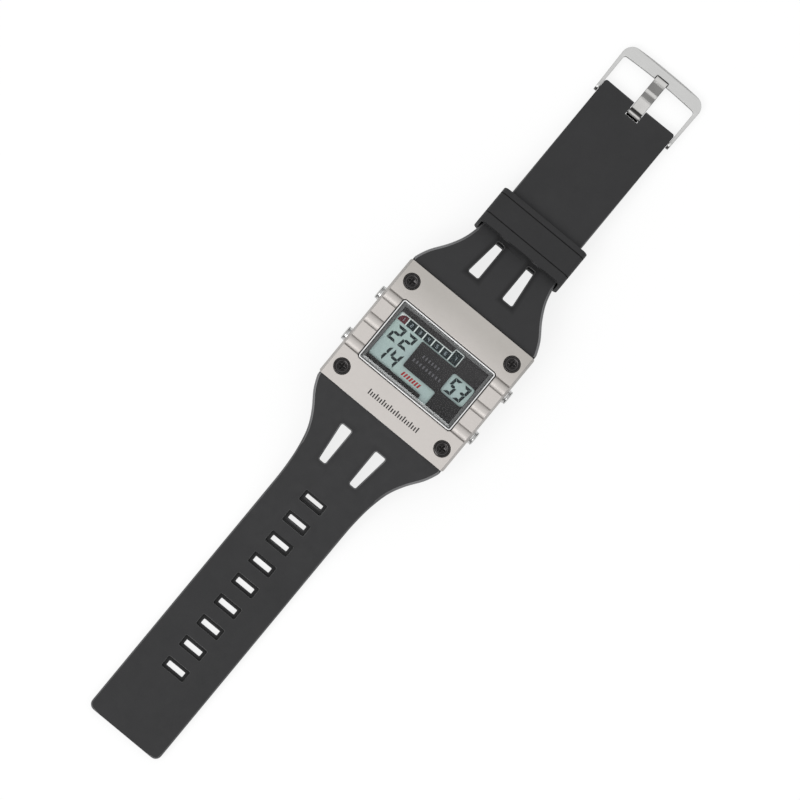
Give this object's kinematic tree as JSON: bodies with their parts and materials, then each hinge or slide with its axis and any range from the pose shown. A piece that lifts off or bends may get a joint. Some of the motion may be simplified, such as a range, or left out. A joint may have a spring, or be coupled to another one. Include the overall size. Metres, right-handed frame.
{
  "type": "digital wristwatch",
  "caption": "Rectangular digital wristwatch with a screwed metal bezel plate, side pushers and a slotted resin strap with keeper and tongue buckle.",
  "frame": {"origin": "centre of the case back's outer face, the flat that rests on the wrist", "axes": "+Z out of the crystal, +Y along the strap to the buckle, +X to 3 o'clock"},
  "size_m": [0.0454, 0.2312, 0.0147],
  "materials": {
    "case_resin": "fine matt moulded resin",
    "strap_resin": "soft matt moulded resin",
    "bezel_metal": "warm satin metal",
    "back_steel": "finely brushed steel",
    "small_steel": "plain bright steel",
    "pusher_steel": "polished steel",
    "trim_chrome": "bright polished line",
    "black_steel": "black oxide, slightly glossy",
    "brass": "plain brass",
    "crystal_glass": "clear polished mineral glass",
    "mask_plastic": "dark grey print under glass",
    "dark_ink": "dark blue grey",
    "display_glass": "pale teal display",
    "white_plastic": "white moulded plastic",
    "led_plastic": "clear yellow",
    "contact_rubber": "layered silicone",
    "board_green": "green board",
    "chip_black": "black epoxy",
    "seal_rubber": "black rubber",
    "buckle_steel": "satin steel",
    "tongue_steel": "polished steel"
  },
  "bodies": {
    "case": {"case_body": "case_resin", "case_back": "back_steel", "back_gasket": "seal_rubber", "back_screws": "small_steel", "screw_inserts": "brass", "bezel_plate": "bezel_metal", "corner_screws": "black_steel", "window_trim": "trim_chrome", "crystal": "crystal_glass", "crystal_gasket": "seal_rubber", "dial_mask": "mask_plastic", "day_tiles": "dark_ink", "lcd_segments": "dark_ink", "lcd_glass": "display_glass", "lcd_reflector": "white_plastic", "light_guide": "white_plastic", "backlight_led": "led_plastic", "zebra_strips": "contact_rubber", "module_frame": "white_plastic", "circuit_board": "board_green", "controller_chip": "chip_black", "quartz_can": "small_steel", "battery": "small_steel", "battery_holder": "white_plastic", "battery_clip": "small_steel", "buzzer_disc": "brass", "buzzer_spring": "small_steel", "contact_leaves": "small_steel", "pusher_bushes": "small_steel", "strap_upper": "strap_resin", "strap_lower": "strap_resin", "spring_bar_tube": "small_steel", "spring_bar_pins": "small_steel", "seal_right_upper": "seal_rubber", "spring_right_upper": "small_steel", "seal_right_lower": "seal_rubber", "spring_right_lower": "small_steel", "seal_left_upper": "seal_rubber", "spring_left_upper": "small_steel", "seal_left_lower": "seal_rubber", "spring_left_lower": "small_steel"},
    "keeper": {"keeper_loop": "strap_resin"},
    "buckle": {"buckle_frame": "buckle_steel"},
    "tongue": {"buckle_tongue": "tongue_steel"},
    "pusher_right_upper_body": {"pusher_right_upper": "pusher_steel", "clip_right_upper": "small_steel"},
    "pusher_right_lower_body": {"pusher_right_lower": "pusher_steel", "clip_right_lower": "small_steel"},
    "pusher_left_upper_body": {"pusher_left_upper": "pusher_steel", "clip_left_upper": "small_steel"},
    "pusher_left_lower_body": {"pusher_left_lower": "pusher_steel", "clip_left_lower": "small_steel"}
  },
  "joints": [
    {"name": "press_right_upper", "type": "slide", "parent": "case", "child": "pusher_right_upper_body", "axis": [-1, 0, 0], "range_m": [0, 0.0008], "stiffness_N_per_m": 800, "springref_m": -0.001, "deforming": ["spring_right_upper"]},
    {"name": "press_right_lower", "type": "slide", "parent": "case", "child": "pusher_right_lower_body", "axis": [-1, 0, 0], "range_m": [0, 0.0008], "stiffness_N_per_m": 800, "springref_m": -0.001, "deforming": ["spring_right_lower"]},
    {"name": "press_left_upper", "type": "slide", "parent": "case", "child": "pusher_left_upper_body", "axis": [1, 0, 0], "range_m": [0, 0.0008], "stiffness_N_per_m": 800, "springref_m": -0.001, "deforming": ["spring_left_upper"]},
    {"name": "press_left_lower", "type": "slide", "parent": "case", "child": "pusher_left_lower_body", "axis": [1, 0, 0], "range_m": [0, 0.0008], "stiffness_N_per_m": 800, "springref_m": -0.001, "deforming": ["spring_left_lower"]},
    {"name": "keeper_slide", "type": "slide", "parent": "case", "child": "keeper", "axis": [0, 0.9882, -0.153], "range_m": [0, 0.034]},
    {"name": "buckle_swing", "type": "hinge", "parent": "case", "child": "buckle", "pos_m": [0, 0.08762, -0.00175], "axis": [1, 0, 0], "range_deg": [-90, 45]},
    {"name": "tongue_swing", "type": "hinge", "parent": "buckle", "child": "tongue", "pos_m": [0, 0.08762, -0.00175], "axis": [1, 0, 0], "range_deg": [0, 65]}
  ]
}
